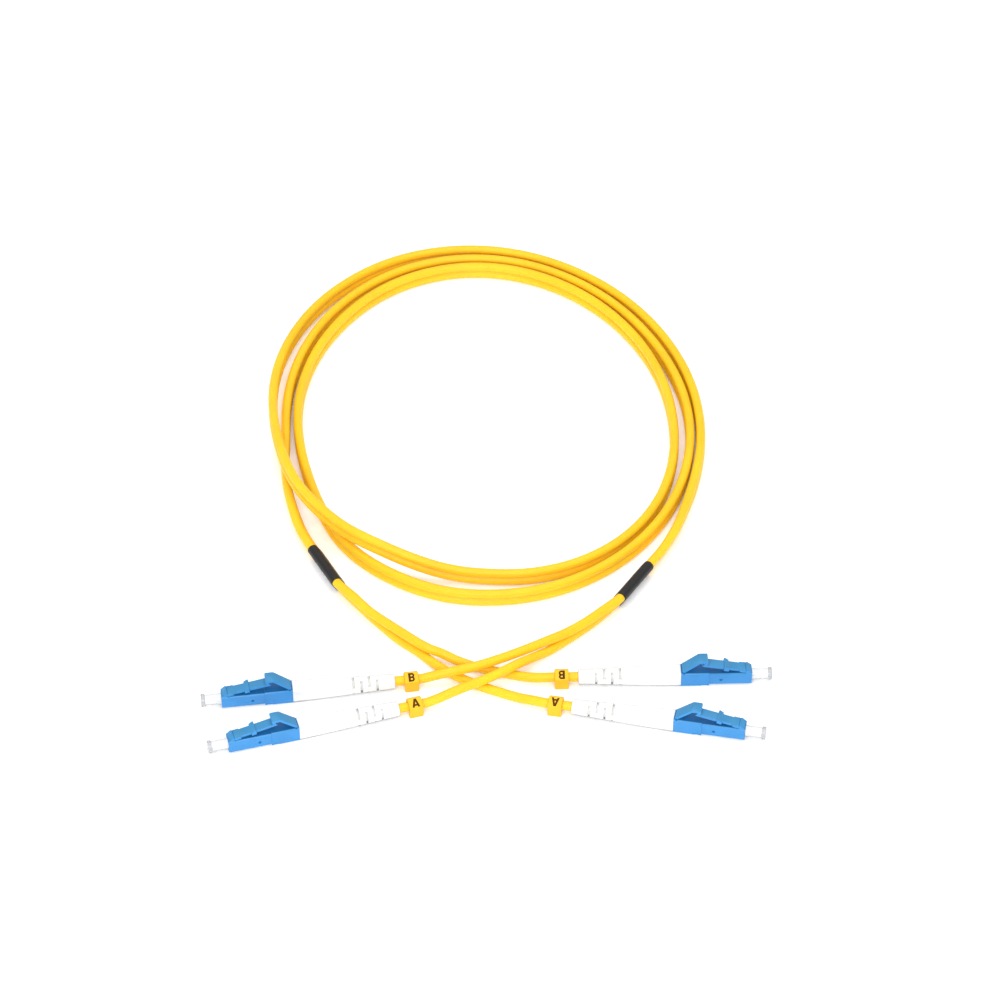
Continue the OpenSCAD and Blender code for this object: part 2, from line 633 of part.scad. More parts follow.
module strain_boot() {
    color(milk) difference() {
        intersection() {
            rod(body_l, boot_x1, boot_d1, boot_d2);
            bar(body_l, boot_x1, rear_h, rear_h, boot_bevel);
        }
        rod(body_l - cut, jacket_x + crimp_grip + crimp_wall, 2 * (crimp_r + grip_gap));
        rod(body_l - cut, boot_x1 + cut, 2 * (grip_r + grip_gap));
        difference() {
            for (i = [0:slot_count - 1]) for (s = [-1, 1])
                translate([boot_x1 - slot_start - i * slot_pitch, 0, 0])
                    rotate([i % 2 == 0 ? 0 : 90, 0, 0])
                        translate([-slot_w / 2, s > 0 ? slot_rib / 2 : -slot_rib / 2 - rear_h, -rear_h])
                            cube([slot_w, rear_h, 2 * rear_h]);
            rod(body_l, boot_x1, 2 * (grip_r + grip_gap + slot_floor));
        }
    }
}

module dust_cap() {
    bore = ferrule_d + 2 * run_gap;
    color(milk) difference() {
        union() {
            rod(-cap_l, cap_bevel - cap_l, cap_d - 2 * cap_bevel, cap_d);
            rod(cap_bevel - cap_l, 0, cap_d);
            rod(-cut / 2, skirt_l, skirt_d);
        }
        rod(-ferrule_out - cap_room, skirt_l + cut, bore);
    }
}

// Snap-on ring with its mouth below, a flat foot and a pad for a letter.
// The pad tilts towards the near side, which is local -y, or +y if flipped.
module cable_marker(flip) {
    pad = [for (w = [-pad_w / 2, pad_w / 2])
           [w * cos(pad_tilt) - pad_out * sin(pad_tilt),
            w * sin(pad_tilt) + pad_out * cos(pad_tilt)]];
    color(amber) mirror([0, flip ? 1 : 0, 0]) difference() {
        translate([boot_x1 + marker_off, 0, 0]) rotate([90, 0, 90]) linear_extrude(marker_l)
            difference() {
                union() {
                    circle(d = marker_d, $fn = FINE);
                    polygon([pad[1], pad[0], [-foot_near, -axis_z],
                             [foot_far, -axis_z], [foot_far, 0], [0, 0]]);
                }
                translate([-marker_gap / 2, -2 * axis_z]) square([marker_gap, 2 * axis_z]);
            }
        rod(boot_x1 + marker_off - cut, boot_x1 + marker_off + marker_l + cut,
            2 * (grip_r + grip_gap));
    }
}

module at_plug(k) {
    translate([each PLUG_AT[k], axis_z]) rotate(HEADINGS[k]) children();
}

duplex_cord();
split_sleeve(left_split, left_heading, -split_lean);  // left_split_sleeve
split_sleeve(right_split, right_heading, split_lean);  // right_split_sleeve
for (k = [0:3]) {
    e = ENDS[k];
    at_plug(k) plug_housing();
    at_plug(k) latch_arm();
    at_plug(k) trigger_arm();
    at_plug(k) ferrule();
    at_plug(k) ferrule_flange();
    at_plug(k) ferrule_spring();
    at_plug(k) crimp_body();
    at_plug(k) crimp_sleeve();
    at_plug(k) aramid_yarn();
    at_plug(k) buffered_fiber();
    at_plug(k) strain_boot();
    at_plug(k) dust_cap();
    at_plug(k) cable_marker(k > 1);
    cord_leg(k);
}
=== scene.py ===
"""Looks of the duplex fiber optic patch cord: cords, sleeves, boots, plugs, caps and markers.

Sizes and places are millimetres and repeat part.scad. Meshes are made in metres, in place.
"""

import json
import math

import bmesh
import bpy
from mathutils import Matrix, Vector


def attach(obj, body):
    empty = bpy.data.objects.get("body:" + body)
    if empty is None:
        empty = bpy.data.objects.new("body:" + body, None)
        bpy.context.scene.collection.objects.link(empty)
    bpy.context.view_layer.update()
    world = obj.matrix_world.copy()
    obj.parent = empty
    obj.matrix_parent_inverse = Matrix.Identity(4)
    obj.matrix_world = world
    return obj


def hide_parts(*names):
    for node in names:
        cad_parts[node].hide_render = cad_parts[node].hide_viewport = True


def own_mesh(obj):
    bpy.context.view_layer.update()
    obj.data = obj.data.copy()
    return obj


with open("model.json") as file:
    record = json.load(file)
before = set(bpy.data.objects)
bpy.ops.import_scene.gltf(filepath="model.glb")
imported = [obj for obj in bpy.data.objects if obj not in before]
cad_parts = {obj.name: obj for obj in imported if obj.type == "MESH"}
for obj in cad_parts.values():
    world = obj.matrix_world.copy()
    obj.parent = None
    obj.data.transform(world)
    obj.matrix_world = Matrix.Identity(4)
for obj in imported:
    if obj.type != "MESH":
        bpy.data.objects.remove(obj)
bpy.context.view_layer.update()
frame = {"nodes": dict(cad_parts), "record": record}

MM = 0.001
BASE_BODY = "cord_and_plugs"

# ---------------------------------------------------------------- sizes
# Cord: radius of a jacket, half the web's thickness, and heights over the table.
CORD_R = 1.5
WEB_HALF = 0.5
CORD_Z = 3.05
AXIS_Z = 2.7
LIE_GAP = 0.05

# Split sleeves. The cord leans over to lie flat in them.
GRIP_R = 1.6536
SLEEVE_L = 18.0
SLEEVE_WALL = 0.25
SLEEVE_GAP = 0.03
SLEEVE_PINCH = 0.12
SPLIT_LEAN = 29.0
LEAN_REACH = 55.0
SPLIT_Z = CORD_R * math.cos(math.radians(SPLIT_LEAN)) + GRIP_R + SLEEVE_WALL

# Boot, in the plug's frame, where x is the distance behind the front face.
BODY_L = 22.3
BOOT_END_X = 54.5
BOOT_HALF = 2.7
BOOT_R1 = 3.55
BOOT_R2 = 2.45
BOOT_BORE = 1.6836
BOOT_WIDE_BORE = 1.9836
BOOT_WIDE_END = 30.8
SLOT_COUNT = 4
SLOT_START = 5.6
SLOT_PITCH = 2.5
SLOT_HALF = 0.35
SLOT_RIB_HALF = 1.1
SLOT_FLOOR_R = 2.0336

# The jacket's end in the plug, and the cable marker with its letter.
JACKET_X = 26.5
CRIMP_GRIP = 4.0
MARKER_OFF = 3.0
MARKER_L = 4.4
PAD_OUT = 2.7
PAD_TILT = 30.0
LETTER_H = 2.8

# Ferrule spring.
SPRING_R = 1.1
WIRE_R = 0.15
SPRING_X = (6.6, 11.8)
SPRING_TURNS = 5

ENDS = ["left_a", "left_b", "right_a", "right_b"]
# Front face of each plug, and the heading of its cable in degrees.
PLUG_AT = {"left_a": (-80, -15), "left_b": (-83, 4.5), "right_a": (80, -9.5), "right_b": (83, 15.5)}
HEADING = {"left_a": 16, "left_b": 8, "right_a": 169, "right_b": 181.5}
# Middle of each split sleeve, and its heading to the legs.
SPLIT_AT = {"left": (-52.05, 63.7), "right": (46.8, 56.3)}
SPLIT_HEADING = {"left": -62.2, "right": -122}
# The side to which the upper jacket leans in each split sleeve.
LEAN_TO = {"left": -90, "right": 90}

# ---------------------------------------------------------------- routes
# The innermost turn is an oval round COIL_C, skewed and sagging a little.
COIL_C = (-1, 139)
COIL_HALF = (62.5, 78.7)
COIL_SKEW = 0.035
COIL_SAG = 0.02
COIL_SHIFT = 0.01
COIL_CLIMB = 6.7
COIL_STEP = 5
# Steps along the smooth lines: the curve's own, the zip cord's and the legs'.
CURVE_STEP = 0.4
ZIP_STEP = 2.8
LEG_STEP = 1.6
# Angle of turn, distance outside the innermost turn, share of the climb.
LANES = [
    (-15, 9.1, 0), (0, 8.9, 0), (30, 8.9, 0), (60, 9.6, 0), (90, 11, 0),
    (115, 11.8, 0), (135, 11.4, 0.05), (155, 10.5, 0.25), (170, 9.9, 0.5),
    (182, 9.5, 0.78), (192, 9.5, 0.97), (200, 9.8, 1), (210, 10, 1),
    (220, 9.2, 1), (230, 8.2, 1), (239, 6.4, 0.97), (247, 3.9, 0.66),
    (255, 1.5, 0.3), (263, -0.2, 0.08), (272, -1.1, 0), (285, -0.4, 0),
    (300, 0.6, 0), (315, 1.3, 0), (330, 1.2, 0), (345, 0.5, 0),
    (360, -0.1, 0), (390, 0.1, 0), (420, 0.9, 0), (450, 1.5, 0),
    (475, 0.9, 0), (500, 0.1, 0), (520, 0.5, 0), (535, 1.1, 0),
    (550, 1.7, 0), (563, 2.9, 0), (575, 5, 0), (585, 7.4, 0),
    (595, 8.9, 0), (609, 9.6, 0), (621, 9.6, 0), (632, 8.7, 0),
    (645, 7.6, 0), (660, 6.6, 0), (675, 6, 0), (700, 5.6, 0),
    (720, 5.3, 0), (750, 4.5, 0), (780, 5.1, 0), (810, 6, 0),
    (835, 5.7, 0), (855, 5.1, 0), (875, 4.8, 0), (890, 4.9, 0),
    (902, 5.4, 0), (910, 6.4, 0), (915, 7.8, 0),
]
# Free stretches of the zip cord, between the coil and the split sleeves.
RIGHT_RUN = [(57, 73.1), (61.3, 82.2), (64.9, 92.9), (68, 104.3)]
LEFT_RUN = [(-66.4, 104), (-63.9, 92), (-60.6, 81.2)]

# Free stretches of the legs, from a split sleeve to the marker.
LEG_RUNS = {
    "left_a": [
        (38.0, 45.0, 1.7), (34.3, 40.6, 1.7), (29.5, 35.8, 1.7), (26.2, 32.7, 1.7),
        (23.0, 29.9, 1.7), (19.8, 27.0, 1.8), (16.6, 24.2, 2.5), (13.4, 21.2, 3.6),
        (10.2, 18.3, 4.6), (6.4, 15.2, 5.0), (0.4, 11.2, 5.0), (-5.6, 7.9, 5.0),
        (-11.5, 4.9, 4.6), (-16.0, 3.1, 3.6)],
    "left_b": [
        (37.4, 42.4, 5.0), (31.0, 36.3, 4.9), (24.6, 31.4, 4.9), (18.2, 27.6, 4.9),
        (11.9, 23.9, 5.0), (4.0, 19.8, 5.0), (-4.0, 16.3, 5.0), (-11.2, 14.2, 4.9),
        (-16.5, 13.5, 3.8)],
    "right_a": [
        (-42.9, 50.2, 1.7), (-37.5, 43.2, 1.6), (-32.6, 37.3, 1.5), (-27.6, 31.7, 1.5),
        (-21.7, 26.4, 1.5), (-15.7, 20.3, 1.5), (-9.7, 15.6, 1.5), (-3.4, 11.8, 1.5),
        (3.4, 8.6, 1.5), (10.0, 5.9, 1.6), (15.2, 3.7, 2.4)],
    "right_b": [
        (-42.9, 48.1, 5.05), (-37.4, 41.4, 4.8), (-32.5, 36.7, 4.8), (-27.7, 32.4, 4.8),
        (-21.6, 27.0, 4.8), (-18.2, 24.9, 4.4), (-14.4, 24.4, 2.9), (-9.2, 22.4, 1.5),
        (-3.7, 19.8, 1.5), (2.4, 17.8, 1.5), (8.8, 16.0, 1.5), (14.2, 14.4, 2.1)],
}


def direction(degrees):
    return Vector((math.cos(math.radians(degrees)), math.sin(math.radians(degrees)), 0))


def slope_at(i, column):
    """Slope of a LANES column at row i, level at both ends."""
    if i <= 0 or i >= len(LANES) - 1:
        return 0.0
    before, after = LANES[i - 1], LANES[i + 1]
    return (after[column] - before[column]) / (after[0] - before[0])


def lane(t, column):
    """Smooth value of a LANES column at turn angle t."""
    i = max(k for k in range(len(LANES) - 1) if k == 0 or LANES[k][0] <= t)
    low, high = LANES[i], LANES[i + 1]
    d = high[0] - low[0]
    s = min(1.0, max(0.0, (t - low[0]) / d))
    rise = s * s * (3 - 2 * s)
    bend = slope_at(i, column) * s * (1 - s) ** 2 - slope_at(i + 1, column) * s * s * (1 - s)
    return low[column] * (1 - rise) + high[column] * rise + d * bend


def coil_point(t):
    """Centre of the zip cord at turn angle t in degrees."""
    c, s = math.cos(math.radians(t)), math.sin(math.radians(t))
    r = 1 - COIL_SKEW * math.sin(math.radians(2 * t)) - COIL_SAG * s + COIL_SHIFT * c
    out = Vector((c / COIL_HALF[0], s / COIL_HALF[1], 0)).normalized()
    p = Vector((COIL_C[0] + r * COIL_HALF[0] * c, COIL_C[1] + r * COIL_HALF[1] * s, 0))
    p += out * lane(t, 1)
    p.z = CORD_Z + COIL_CLIMB * lane(t, 2)
    return p


def at_split(side, along, z):
    p = Vector((*SPLIT_AT[side], z))
    return p + direction(SPLIT_HEADING[side]) * along


def leaning_offset(side, distance):
    """Offset of a jacket's centre from a split sleeve's axis, up and to the leaning side."""
    lean = math.radians(SPLIT_LEAN)
    off = direction(SPLIT_HEADING[side] + LEAN_TO[side]) * (distance * math.sin(lean))
    off.z = distance * math.cos(lean)
    return off


def lean_at(distance):
    """Lean of the zip cord at a distance from the middle of a split sleeve."""
    q = (LEAN_REACH - distance) / (LEAN_REACH - SLEEVE_L / 2)
    q = min(1.0, max(0.0, q))
    return math.radians(SPLIT_LEAN) * q * q * (3 - 2 * q)


def run_points(run, side):
    """Points of a free run of the zip cord, lying on the table with its lean."""
    points = []
    for x, y in run:
        lean = lean_at(math.dist((x, y), SPLIT_AT[side]))
        points.append(Vector((x, y, LIE_GAP + CORD_R * (1 + math.cos(lean)))))
    return points


def plug_matrix(end):
    """From the plug's frame in mm to the row frame in metres."""
    x, y = PLUG_AT[end]
    turn = Matrix.Rotation(math.radians(HEADING[end]), 4, "Z")
    return Matrix.Scale(MM, 4) @ Matrix.Translation((x, y, AXIS_Z)) @ turn


def plug_point(end, x):
    return Vector((*PLUG_AT[end], AXIS_Z)) + direction(HEADING[end]) * x


def smooth_line(points, step):
    """Points about step apart on a centripetal Catmull-Rom curve through the given points."""
    ends = [2 * points[0] - points[1], *points, 2 * points[-1] - points[-2]]
    fine = []
    for a, b, c, d in zip(ends, ends[1:], ends[2:], ends[3:]):
        t1 = (b - a).length ** 0.5
        t2 = t1 + (c - b).length ** 0.5
        t3 = t2 + (d - c).length ** 0.5
        count = max(2, round((c - b).length / CURVE_STEP))
        for n in range(count):
            t = t1 + (t2 - t1) * n / count
            p = a.lerp(b, t / t1)
            q = b.lerp(c, (t - t1) / (t2 - t1))
            r = c.lerp(d, (t - t2) / (t3 - t2))
            pq = p.lerp(q, t / t2)
            qr = q.lerp(r, (t - t1) / (t3 - t1))
            fine.append(pq.lerp(qr, (t - t1) / (t2 - t1)))
    fine.append(points[-1].copy())
    return even_steps(fine, step)


def even_steps(line, step):
    """The same line with evenly spaced points."""
    marks = line_marks(line)
    count = max(2, round(marks[-1] / step))
    result = []
    i = 0
    for n in range(count + 1):
        target = marks[-1] * n / count
        while i < len(marks) - 2 and marks[i + 1] < target:
            i += 1
        share = (target - marks[i]) / max(1e-9, marks[i + 1] - marks[i])
        result.append(line[i].lerp(line[i + 1], share))
    return result


def line_marks(line):
    """Distance of each point along the line."""
    marks = [0.0]
    for a, b in zip(line, line[1:]):
        marks.append(marks[-1] + (b - a).length)
    return marks


# ---------------------------------------------------------------- camera, light, floor
CAMERA_AT = Vector((4, -866.1, 869.9))
CAMERA_TARGET = Vector((4, 100, 0))
CAMERA_LENS = 141.56
WORLD_STRENGTH = 0.72
# Place, size and watts of each softbox, in metres.
SOFTBOXES = {
    "top_box": ((0.05, 0.25, 1.3), (1.3, 1.0), 8),
    "front_box": ((-0.12, -1.12, 0.95), (1.5, 0.8), 19),
}
LIGHT_TARGET = (0, 0.1, 0)
FLOOR_HALF = 6.0


def look_at(obj, target):
    obj.rotation_euler = (Vector(target) - obj.location).to_track_quat("-Z", "Y").to_euler()


def make_camera():
    data = bpy.data.cameras.new("camera")
    data.sensor_width = 36
    data.lens = CAMERA_LENS
    data.clip_start = 0.01
    camera = bpy.data.objects.new("camera", data)
    bpy.context.scene.collection.objects.link(camera)
    camera.location = CAMERA_AT * MM
    look_at(camera, CAMERA_TARGET * MM)
    bpy.context.scene.camera = camera


def make_softbox(name, place, size, watts):
    data = bpy.data.lights.new(name, "AREA")
    data.shape = "RECTANGLE"
    data.size, data.size_y = size
    data.energy = watts
    light = bpy.data.objects.new(name, data)
    bpy.context.scene.collection.objects.link(light)
    light.location = Vector(place)
    look_at(light, LIGHT_TARGET)


def make_studio():
    scene = bpy.context.scene
    scene.view_settings.view_transform = "Standard"
    world = bpy.data.worlds.new("studio")
    world.use_nodes = True
    background = world.node_tree.nodes["Background"]
    background.inputs["Color"].default_value = (1.0, 1.0, 1.0, 1.0)
    background.inputs["Strength"].default_value = WORLD_STRENGTH
    scene.world = world
    for name, settings in SOFTBOXES.items():
        make_softbox(name, *settings)


def make_floor():
    mesh = bpy.data.meshes.new("floor")
    mesh.from_pydata([(x * FLOOR_HALF, y * FLOOR_HALF, 0) for x, y in ((-1, -1), (1, -1), (1, 1), (-1, 1))],
                     [], [(0, 1, 2, 3)])
    floor = bpy.data.objects.new("floor", mesh)
    bpy.context.scene.collection.objects.link(floor)
    mesh.materials.append(plastic("floor_paper", (0.97, 0.97, 0.97), 0.8, grain=3, bump=0.02,
                                  Emission_Color=(1.0, 1.0, 1.0, 1.0), Emission_Strength=0.07))


# ---------------------------------------------------------------- materials
class Nodes:
    """A material with a Principled shader, and short calls to build its inputs."""

    def __init__(self, name):
        self.material = bpy.data.materials.new(name)
        self.material.use_nodes = True
        self.tree = self.material.node_tree
        self.shader = self.tree.nodes["Principled BSDF"]

    def add(self, kind, settings=None, **inputs):
        node = self.tree.nodes.new("ShaderNode" + kind)
        for key, value in (settings or {}).items():
            setattr(node, key, value)
        for key, value in inputs.items():
            self.feed(node.inputs[key], value)
        return node

    def feed(self, socket, value):
        if isinstance(value, bpy.types.NodeSocket):
            self.tree.links.new(value, socket)
        else:
            socket.default_value = value

    def place(self):
        return self.add("TexCoord").outputs["Object"]

    def noise(self, size, detail=3.0, vector=None):
        """Noise from 0 to 1 with features of about size mm."""
        return self.add("TexNoise", Vector=vector or self.place(),
                        Scale=1 / (size * MM) if vector is None else 1 / size,
                        Detail=detail).outputs["Fac"]

    def between(self, share, low, high):
        return self.add("MapRange", Value=share, **{"From Min": 0.3, "From Max": 0.7,
                        "To Min": low, "To Max": high}).outputs["Result"]

    def height(self):
        """Height over the table in mm."""
        z = self.add("SeparateXYZ", Vector=self.place()).outputs["Z"]
        return self.times(z, 1 / MM)

    def facing_up(self):
        normal = self.add("NewGeometry").outputs["Normal"]
        return self.add("SeparateXYZ", Vector=normal).outputs["Z"]

    def times(self, first, second):
        node = self.add("Math", {"operation": "MULTIPLY"})
        self.feed(node.inputs[0], first)
        self.feed(node.inputs[1], second)
        return node.outputs[0]

    def rise(self, value, start, end):
        """Smooth share from 0 at start to 1 at end."""
        return self.add("MapRange", {"interpolation_type": "SMOOTHSTEP"}, Value=value,
                        **{"From Min": start, "From Max": end}).outputs["Result"]

    def dim(self, color, share, by):
        """The colour, multiplied by another where share is 1."""
        node = self.add("Mix", {"data_type": "RGBA", "blend_type": "MULTIPLY"})
        self.feed(node.inputs[0], share)
        self.feed(node.inputs[6], color)
        node.inputs[7].default_value = (*by, 1)
        return node.outputs[2]

    def blend(self, share, first, second):
        node = self.add("Mix", {"data_type": "RGBA"})
        self.feed(node.inputs[0], share)
        for socket, color in ((node.inputs[6], first), (node.inputs[7], second)):
            self.feed(socket, (*color, 1) if isinstance(color, tuple) else color)
        return node.outputs[2]

    def bump(self, height, depth, strength=1.0, normal=None):
        """Bump of depth mm."""
        node = self.add("Bump", Height=height, Strength=strength, Distance=depth * MM)
        if normal is not None:
            self.feed(node.inputs["Normal"], normal)
        return node.outputs["Normal"]


def shade(color, by):
    return tuple(min(1.0, c * by) for c in color)


def plastic(name, color, rough, grain=0.35, bump=0.01, spread=0.05, shadow=None, low=None,
            ledge_shade=None, top=None, **sockets):
    """Moulded plastic: clouded colour and gloss, and a fine grain.

    The shadow colour is painted shade, filled in where the mask attribute marks it. What faces
    down or is below low, a height with a darkness, gets painted shade. So does what faces up
    between the two heights of the ledge. Where it faces up it is multiplied by top, a painted shade.
    """
    n = Nodes(name)
    clouds = n.noise(6.0)
    base = n.blend(n.between(clouds, 0.0, 1.0), shade(color, 1 - spread), shade(color, 1 + spread))
    # Painted shade: the shadow colour fills the marked slot walls and rims.
    if shadow:
        deep = n.add("Attribute", {"attribute_name": "deep"}).outputs["Fac"]
        base = n.blend(deep, base, shadow)
    # Painted shade on what faces down or lies near the table.
    if low:
        clear = n.times(n.rise(n.height(), low[0] * 0.5, low[0]), n.rise(n.facing_up(), -0.55, -0.1))
        base = n.dim(base, n.rise(clear, 1.0, 0.0), (low[1], low[1], low[1]))
    # Painted shade: upward faces are multiplied by top to make them darker.
    if top:
        base = n.dim(base, n.rise(n.facing_up(), 0.5, 0.95), top)
    # Painted shade on upward faces between the two heights, such as the housing top under the latch.
    if ledge_shade:
        under = n.times(n.rise(n.height(), ledge_shade[0] - 0.1, ledge_shade[0]),
                        n.rise(n.height(), ledge_shade[1] + 0.1, ledge_shade[1]))
        base = n.dim(base, n.times(under, n.rise(n.facing_up(), 0.8, 0.95)), ledge_shade[2])
    n.feed(n.shader.inputs["Base Color"], base)
    n.feed(n.shader.inputs["Roughness"], n.between(n.noise(1.7), rough - 0.05, rough + 0.06))
    n.feed(n.shader.inputs["Normal"], n.bump(n.noise(grain, 5.0), bump))
    for key, value in sockets.items():
        n.shader.inputs[key.replace("_", " ")].default_value = value
    return n.material


def metal(name, color, rough, grain=0.2):
    n = Nodes(name)
    n.shader.inputs["Metallic"].default_value = 1.0
    n.feed(n.shader.inputs["Base Color"],
           n.blend(n.between(n.noise(2.5), 0.0, 1.0), shade(color, 0.9), shade(color, 1.06)))
    n.feed(n.shader.inputs["Roughness"], n.between(n.noise(0.8), rough - 0.07, rough + 0.1))
    n.feed(n.shader.inputs["Normal"], n.bump(n.noise(grain, 4.0), 0.006))
    return n.material


# How much shorter a streak on a jacket is in the noise than on the cord.
STREAK_SQUEEZE = 0.02


def jacket(name, color):
    """Extruded jacket: long faint streaks along the cord and a satin grain."""
    n = Nodes(name)
    along = n.add("Attribute", {"attribute_name": "along"}).outputs["Fac"]
    around = n.add("Attribute", {"attribute_name": "around"}).outputs["Fac"]
    stretched = n.add("CombineXYZ", X=n.times(along, STREAK_SQUEEZE), Y=around).outputs[0]
    streaks = n.noise(0.5, 2.0, vector=stretched)
    clouds = n.noise(14.0, 2.0)
    base = n.blend(n.between(clouds, 0.0, 1.0), shade(color, 0.95), shade(color, 1.04))
    n.feed(n.shader.inputs["Base Color"], base)
    n.feed(n.shader.inputs["Roughness"], n.between(streaks, 0.4, 0.54))
    fine = n.bump(n.noise(0.25, 4.0), 0.006)
    n.feed(n.shader.inputs["Normal"], n.bump(streaks, 0.012, normal=fine))
    n.shader.inputs["Specular IOR Level"].default_value = 0.3
    n.shader.inputs["Subsurface Weight"].default_value = 0.5
    n.shader.inputs["Subsurface Radius"].default_value = (1.0, 0.75, 0.15)
    n.shader.inputs["Subsurface Scale"].default_value = 1.2 * MM
    return n.material


YELLOW = (0.85, 0.5, 0.011)
BLUE = (0.031, 0.222, 0.525)
MATERIALS = {
    "jacket_yellow": jacket("jacket_yellow", YELLOW),
    # Painted shade: upward faces are dimmed, and the housing top under the latch is darkened.
    "housing_blue": plastic("housing_blue", BLUE, 0.4, bump=0.006, Specular_IOR_Level=0.4,
                            ledge_shade=(4.9, 5.42, (0.24, 0.57, 0.76)), top=(1.0, 0.92, 0.77)),
    # Painted shade: grey in the slots, and darker towards the table.
    "boot_white": plastic("boot_white", (0.7, 0.7, 0.695), 0.45, spread=0.02,
                          shadow=(0.6, 0.595, 0.57), low=(1.25, 0.5)),
    # Painted shade: grey on the rim, and darker towards the table.
    "cap_clear": plastic("cap_clear", (0.8, 0.81, 0.82), 0.24, spread=0.01, bump=0.002,
                         shadow=(0.5, 0.51, 0.53), low=(0.8, 0.65), Transmission_Weight=0.3, IOR=1.5),
    "marker_amber": plastic("marker_amber", (0.88, 0.425, 0.008), 0.42, Specular_IOR_Level=0.3),
    "sleeve_black": plastic("sleeve_black", (0.013, 0.012, 0.012), 0.46, grain=0.5, bump=0.015,
                            Specular_IOR_Level=0.3),
    "zirconia": plastic("zirconia", (0.9, 0.9, 0.87), 0.14, spread=0.01, bump=0.001),
    "flange_metal": metal("flange_metal", (0.72, 0.71, 0.68), 0.28),
    "spring_steel": metal("spring_steel", (0.6, 0.61, 0.63), 0.25),
    "crimp_metal": metal("crimp_metal", (0.78, 0.64, 0.36), 0.3),
    "aramid": plastic("aramid", (0.85, 0.68, 0.16), 0.6, grain=0.15, bump=0.05, spread=0.12),
    "fiber_buffer": plastic("fiber_buffer", (0.85, 0.85, 0.82), 0.35, spread=0.02),
}
INK = plastic("marker_ink", (0.055, 0.028, 0.004), 0.6, spread=0.15, Specular_IOR_Level=0.1)


# ---------------------------------------------------------------- mesh helpers
def new_piece(name, points, faces, slot, body, smooth=True, scale=MM):
    mesh = bpy.data.meshes.new(name)
    mesh.from_pydata([tuple(Vector(p) * scale) for p in points], [], faces)
    mesh.validate()
    mesh.update()
    return finish_piece(name, mesh, slot, body, smooth)


def finish_piece(name, mesh, slot, body, smooth=True):
    """Links the mesh as a piece with its material, slot and body."""
    for face in mesh.polygons:
        face.use_smooth = smooth
    mesh.materials.clear()
    mesh.materials.append(MATERIALS[slot])
    piece = bpy.data.objects.new(name, mesh)
    bpy.context.scene.collection.objects.link(piece)
    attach(piece, body)
    return piece


def float_attribute(mesh, name, values):
    mesh.attributes.new(name, "FLOAT", "POINT").data.foreach_set("value", values)


def tube_faces(rings, sides, capped=True):
    """Faces between rings of points, with end caps or with the last ring joined to the first."""
    faces = []
    for i in range(rings - 1 if capped else rings):
        a, b = i * sides, (i + 1) % rings * sides
        for k in range(sides):
            j = (k + 1) % sides
            faces.append((a + k, a + j, b + j, b + k))
    if capped:
        faces.append(tuple(reversed(range(sides))))
        faces.append(tuple((rings - 1) * sides + k for k in range(sides)))
    return faces


def sweep(name, line, section, slot, leans=None):
    """Tube of a closed section of (side, up) points along a line, which leans from up to side."""
    m = len(section)
    edge = [0.0]
    for a, b in zip(section, section[1:]):
        edge.append(edge[-1] + math.dist(a, b))
    points, along, around = [], [], []
    marks = line_marks(line)
    for i, p in enumerate(line):
        ahead = (line[min(i + 1, len(line) - 1)] - line[max(i - 1, 0)]).normalized()
        side = ahead.cross(Vector((0, 0, 1))).normalized()
        up = side.cross(ahead)
        lean = leans[i] if leans else 0.0
        c, s = math.cos(lean), math.sin(lean)
        points += [p + side * (x * c + z * s) + up * (z * c - x * s) for x, z in section]
        along += [marks[i]] * m
        around += edge
    piece = new_piece(name, points, tube_faces(len(line), m), slot, BASE_BODY)
    outward(piece.data)
    float_attribute(piece.data, "along", along)
    float_attribute(piece.data, "around", around)
    return piece


def outward(mesh):
    """Turns all faces outward."""
    bm = bmesh.new()
    bm.from_mesh(mesh)
    bmesh.ops.recalc_face_normals(bm, faces=bm.faces)
    bm.to_mesh(mesh)
    bm.free()


def circle_section(radius, sides):
    return [(radius * math.cos(a), radius * math.sin(a))
            for a in (math.tau * k / sides for k in range(sides))]


def pair_section(r, half, waist, steps):
    """Outline of two circles of radius r, one over the other, narrowed to waist between them."""
    turn = math.pi - math.asin(waist / r) if waist < r else math.pi / 2
    upper = [(r * math.sin(a), half + r * math.cos(a))
             for a in (turn * k / steps for k in range(-steps, steps + 1))]
    return upper + [(-x, -z) for x, z in upper]


# ---------------------------------------------------------------- cords and sleeves
def make_zip_cord():
    turns = [coil_point(t) for t in range(LANES[0][0], LANES[-1][0] + 1, COIL_STEP)]
    route = [at_split("right", 0, SPLIT_Z), at_split("right", -SLEEVE_L / 2, SPLIT_Z)]
    route += run_points(RIGHT_RUN, "right") + turns + run_points(LEFT_RUN, "left")
    route += [at_split("left", -SLEEVE_L / 2, SPLIT_Z), at_split("left", 0, SPLIT_Z)]
    line = smooth_line(route, ZIP_STEP)
    marks = line_marks(line)
    leans = [lean_at(min(m, marks[-1] - m)) for m in marks]
    section = pair_section(CORD_R, CORD_R, WEB_HALF, 9)
    cord = sweep("zip_cord", line, section, "jacket_yellow", leans)
    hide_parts("duplex_cord")
    return cord, line


def make_leg(end):
    side = "right" if end.startswith("left") else "left"
    off = leaning_offset(side, -CORD_R if end.endswith("a") else CORD_R)
    straight = BOOT_END_X + MARKER_OFF + MARKER_L + 1
    route = [at_split(side, along, SPLIT_Z) + off for along in (0, SLEEVE_L / 2)]
    route += [Vector(p) for p in LEG_RUNS[end]]
    route += [plug_point(end, x) for x in (straight, BOOT_END_X, JACKET_X + CRIMP_GRIP, JACKET_X)]
    line = smooth_line(route, LEG_STEP)
    leg = sweep(end + "_leg", line, circle_section(CORD_R, 24), "jacket_yellow")
    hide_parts(end + "_cord_leg")
    return leg, line


